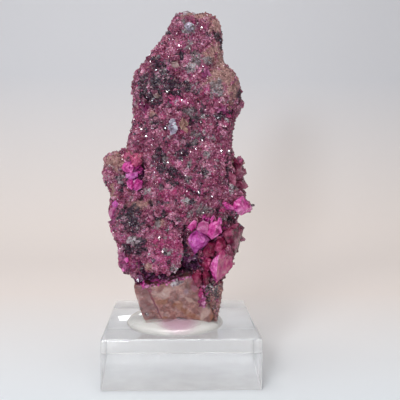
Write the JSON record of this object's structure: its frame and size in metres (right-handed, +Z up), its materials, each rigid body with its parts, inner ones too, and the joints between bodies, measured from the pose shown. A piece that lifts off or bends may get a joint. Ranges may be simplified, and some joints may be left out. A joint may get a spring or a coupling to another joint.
{
  "type": "cobaltoan dolomite specimen",
  "caption": "Upright pink dolomite specimen with rhombic crystals and druse, held by clear gel on a square acrylic display base.",
  "frame": {"origin": "centre of the display base's underside", "axes": "+Z up along the standing stone, -Y towards the front that shows the crystals, +X to the viewer's right"},
  "size_m": [0.0396, 0.0382, 0.0911],
  "materials": {
    "dolomite": "sparkling druse of wine-pink dolomite with magenta crystals, tan cleaved blocks and dark grey patches",
    "gel": "clear, glossy, faintly warm silicone gel",
    "acrylic": "clear polished acrylic"
  },
  "bodies": {
    "root": {"dolomite_specimen": "dolomite", "mounting_gel": "gel", "acrylic_base": "acrylic"}
  },
  "joints": []
}
